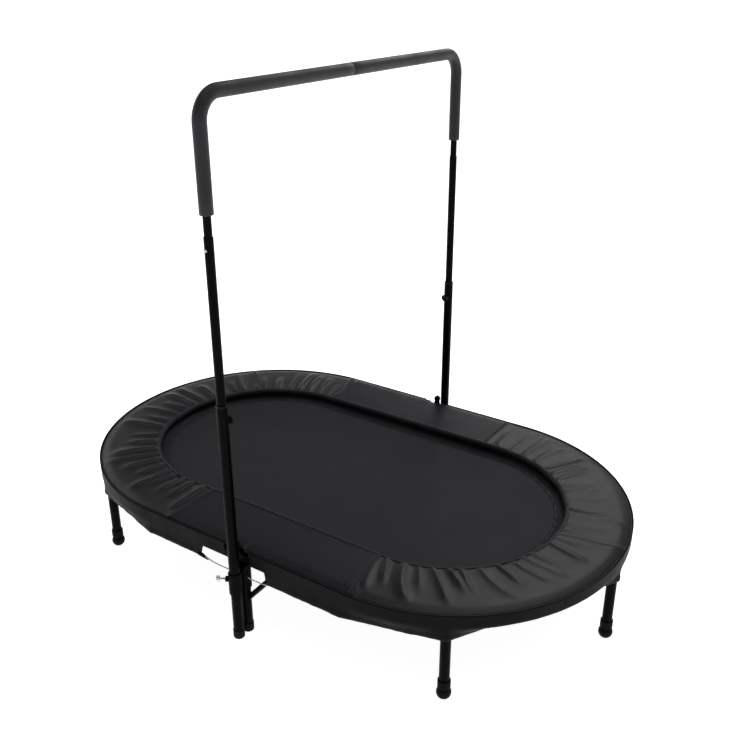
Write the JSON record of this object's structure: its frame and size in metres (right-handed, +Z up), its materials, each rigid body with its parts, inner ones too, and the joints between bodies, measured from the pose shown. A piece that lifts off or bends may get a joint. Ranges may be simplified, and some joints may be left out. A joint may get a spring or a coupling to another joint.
{
  "type": "mini trampoline",
  "caption": "Folding oval mini trampoline with a sprung mat under a padded skirted cover, screw-on legs and a height-adjustable padded handlebar across the middle.",
  "frame": {"origin": "on the floor, under the middle of the oval and the middle of the handlebar", "axes": "+X along the oval's long axis towards the half that stays put, +Y across it, +Z up"},
  "size_m": [1.514, 1.0328, 1.2665],
  "materials": {
    "frame_steel": "gloss black powder coat",
    "leg_steel": "gloss black powder coat",
    "bracket_steel": "satin black powder coat",
    "zinc": "bright zinc plated",
    "chrome": "polished",
    "rubber_black": "moulded matt",
    "knob_plastic": "moulded",
    "bush_plastic": "moulded",
    "foam": "closed-cell foam",
    "mat_fabric": "woven polypropylene",
    "border_webbing": "woven webbing",
    "cover_fabric": "satin woven polyester",
    "elastic": "braided elastic"
  },
  "bodies": {
    "main_frame": {"frame_tube_right": "frame_steel", "leg_sockets_right": "frame_steel", "leg_right_near": "leg_steel", "leg_right_end": "leg_steel", "leg_right_far": "leg_steel", "foot_right_near": "rubber_black", "foot_right_end": "rubber_black", "foot_right_far": "rubber_black", "saddle_near": "bracket_steel", "saddle_far": "bracket_steel", "mid_leg_near": "leg_steel", "mid_leg_far": "leg_steel", "brace_near": "leg_steel", "brace_far": "leg_steel", "post_bracket_near": "bracket_steel", "post_bracket_far": "bracket_steel", "lower_post_near": "leg_steel", "lower_post_far": "leg_steel", "mid_leg_caps": "rubber_black", "post_caps": "rubber_black", "post_bushes": "bush_plastic", "pin_housings": "bracket_steel", "hinge_plates_right": "bracket_steel", "hinge_pins": "bracket_steel", "mat_right": "mat_fabric", "mat_border_right": "border_webbing", "v_rings_right": "zinc", "springs_right": "zinc", "pad_right": "cover_fabric", "skirt_right": "cover_fabric", "hem_cord_right": "elastic"},
    "folding_frame": {"frame_tube_left": "frame_steel", "leg_sockets_left": "frame_steel", "leg_left_near": "leg_steel", "leg_left_end": "leg_steel", "leg_left_far": "leg_steel", "foot_left_near": "rubber_black", "foot_left_end": "rubber_black", "foot_left_far": "rubber_black", "hinge_plates_left": "bracket_steel", "mat_left": "mat_fabric", "mat_border_left": "border_webbing", "v_rings_left": "zinc", "springs_left": "zinc", "pad_left": "cover_fabric", "skirt_left": "cover_fabric", "hem_cord_left": "elastic"},
    "handlebar": {"sliding_post_near": "leg_steel", "sliding_post_far": "leg_steel", "handlebar_tube_near": "bracket_steel", "handlebar_tube_far": "bracket_steel", "foam_grip_near": "foam", "foam_grip_far": "foam", "snap_buttons": "zinc", "handlebar_joint_sleeve": "zinc"},
    "height_pin_near": {"height_pin_near": "knob_plastic"},
    "height_pin_far": {"height_pin_far": "knob_plastic"},
    "clamp_knob_near": {"clamp_knob_near": "chrome"},
    "clamp_knob_far": {"clamp_knob_far": "chrome"}
  },
  "joints": [
    {"name": "fold", "type": "hinge", "parent": "main_frame", "child": "folding_frame", "pos_m": [0, 0, 0.245], "axis": [0, 1, 0], "range_deg": [0, 180]},
    {"name": "handlebar_height", "type": "slide", "parent": "main_frame", "child": "handlebar", "axis": [0, 0, 1], "range_m": [-0.2, 0.05]},
    {"name": "height_pin_near_pull", "type": "slide", "parent": "main_frame", "child": "height_pin_near", "axis": [0, 1, 0], "range_m": [0, 0.006], "stiffness_N_per_m": 600, "springref_m": -0.004},
    {"name": "clamp_knob_near_turn", "type": "hinge", "parent": "main_frame", "child": "clamp_knob_near", "pos_m": [0.013, -0.4865, 0.168], "axis": [-0.8387, -0.5446, 0], "continuous": true},
    {"name": "height_pin_far_pull", "type": "slide", "parent": "main_frame", "child": "height_pin_far", "axis": [0, -1, 0], "range_m": [0, 0.006], "stiffness_N_per_m": 600, "springref_m": -0.004},
    {"name": "clamp_knob_far_turn", "type": "hinge", "parent": "main_frame", "child": "clamp_knob_far", "pos_m": [0.013, 0.4865, 0.168], "axis": [-0.8387, 0.5446, 0], "continuous": true}
  ]
}
